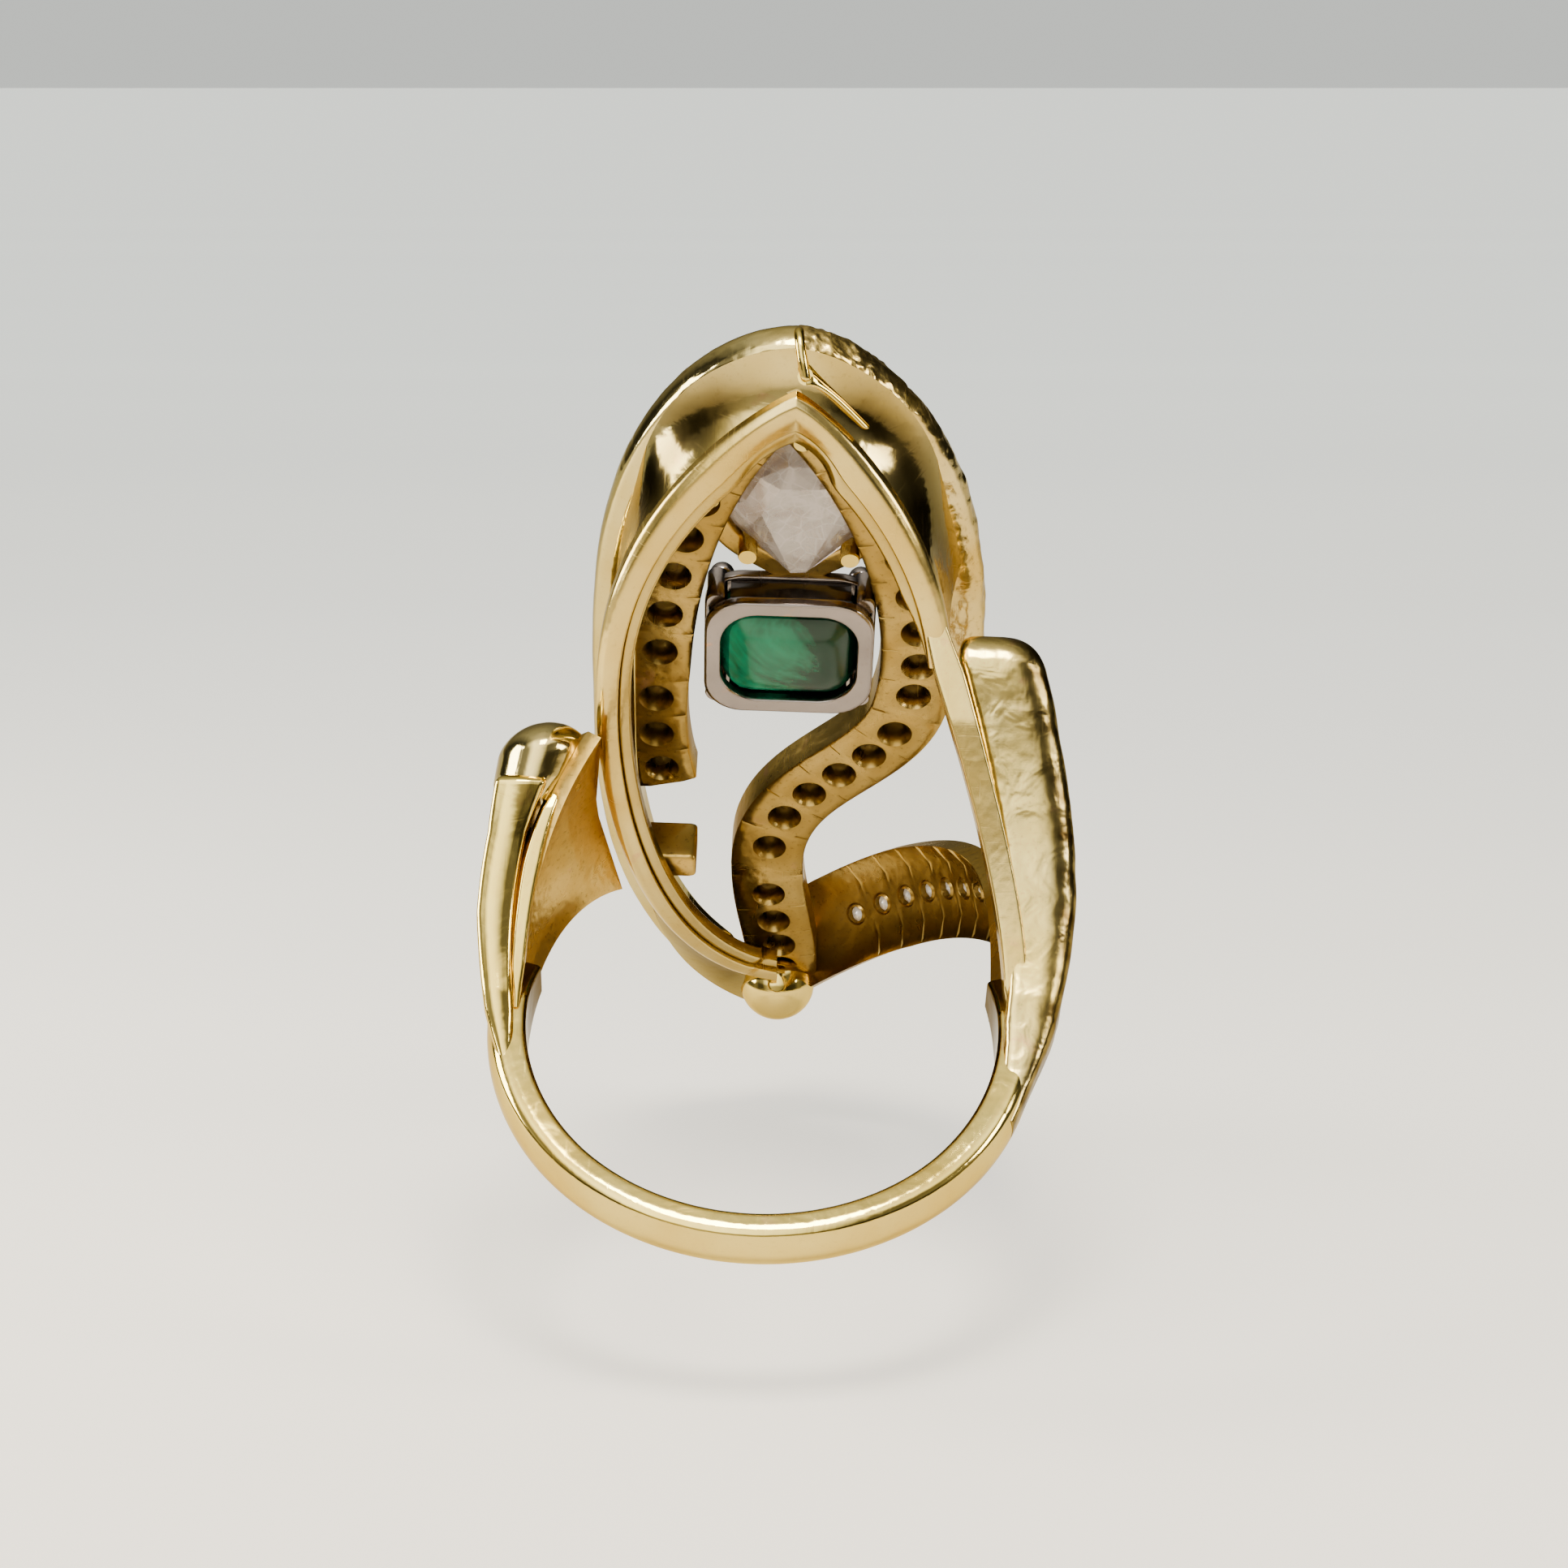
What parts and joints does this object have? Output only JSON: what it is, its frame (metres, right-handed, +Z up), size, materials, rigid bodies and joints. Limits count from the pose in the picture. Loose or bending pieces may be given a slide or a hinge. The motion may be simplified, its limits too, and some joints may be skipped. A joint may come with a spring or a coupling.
{
  "type": "cocktail ring",
  "caption": "Long pointed-oval cocktail ring in yellow gold with a green cushion-cut stone in a white-gold basket and swirling stone-set ribbons.",
  "frame": {"origin": "centre of the finger hole, on its axis and at the middle of the hoop's width", "axes": "+X across the finger to the side of the free-standing horn, +Y along the finger towards the far tip of the head, +Z up through the head"},
  "size_m": [0.0221, 0.0368, 0.0286],
  "materials": {
    "yellow_gold_polished": "polished pale yellow gold with fine wear scratches",
    "yellow_gold_cast": "pale yellow gold, lightly hammered and cast texture",
    "yellow_gold_satin": "unpolished warm yellow gold on inner faces",
    "white_gold": "polished white gold",
    "green_stone": "transparent green gemstone with soft inclusions",
    "clear_stone": "clear colourless gemstone"
  },
  "bodies": {
    "root": {"shank_hoop": "yellow_gold_polished", "left_horn": "yellow_gold_polished", "left_horn_cap": "yellow_gold_polished", "left_web": "yellow_gold_satin", "right_horn": "yellow_gold_cast", "right_arm": "yellow_gold_polished", "gallery_rail": "yellow_gold_polished", "rail_step": "yellow_gold_polished", "gallery_wall": "yellow_gold_satin", "frame_left": "yellow_gold_polished", "frame_right": "yellow_gold_cast", "tip_fork": "yellow_gold_cast", "left_bracket": "yellow_gold_satin", "far_right_strap": "yellow_gold_satin", "far_tip_joint": "yellow_gold_satin", "s_ribbon": "yellow_gold_satin", "left_ribbon": "yellow_gold_satin", "s_ribbon_stones": "clear_stone", "left_ribbon_stones": "clear_stone", "strap_stones": "clear_stone", "s_ribbon_beads": "yellow_gold_polished", "left_ribbon_beads": "yellow_gold_polished", "strap_beads": "yellow_gold_polished", "basket_base_rim": "white_gold", "basket_walls": "white_gold", "basket_top_rim": "white_gold", "basket_claws": "white_gold", "emerald": "green_stone", "pear_seat": "yellow_gold_satin", "pear_stone": "clear_stone", "pear_claws": "yellow_gold_polished"}
  },
  "joints": []
}
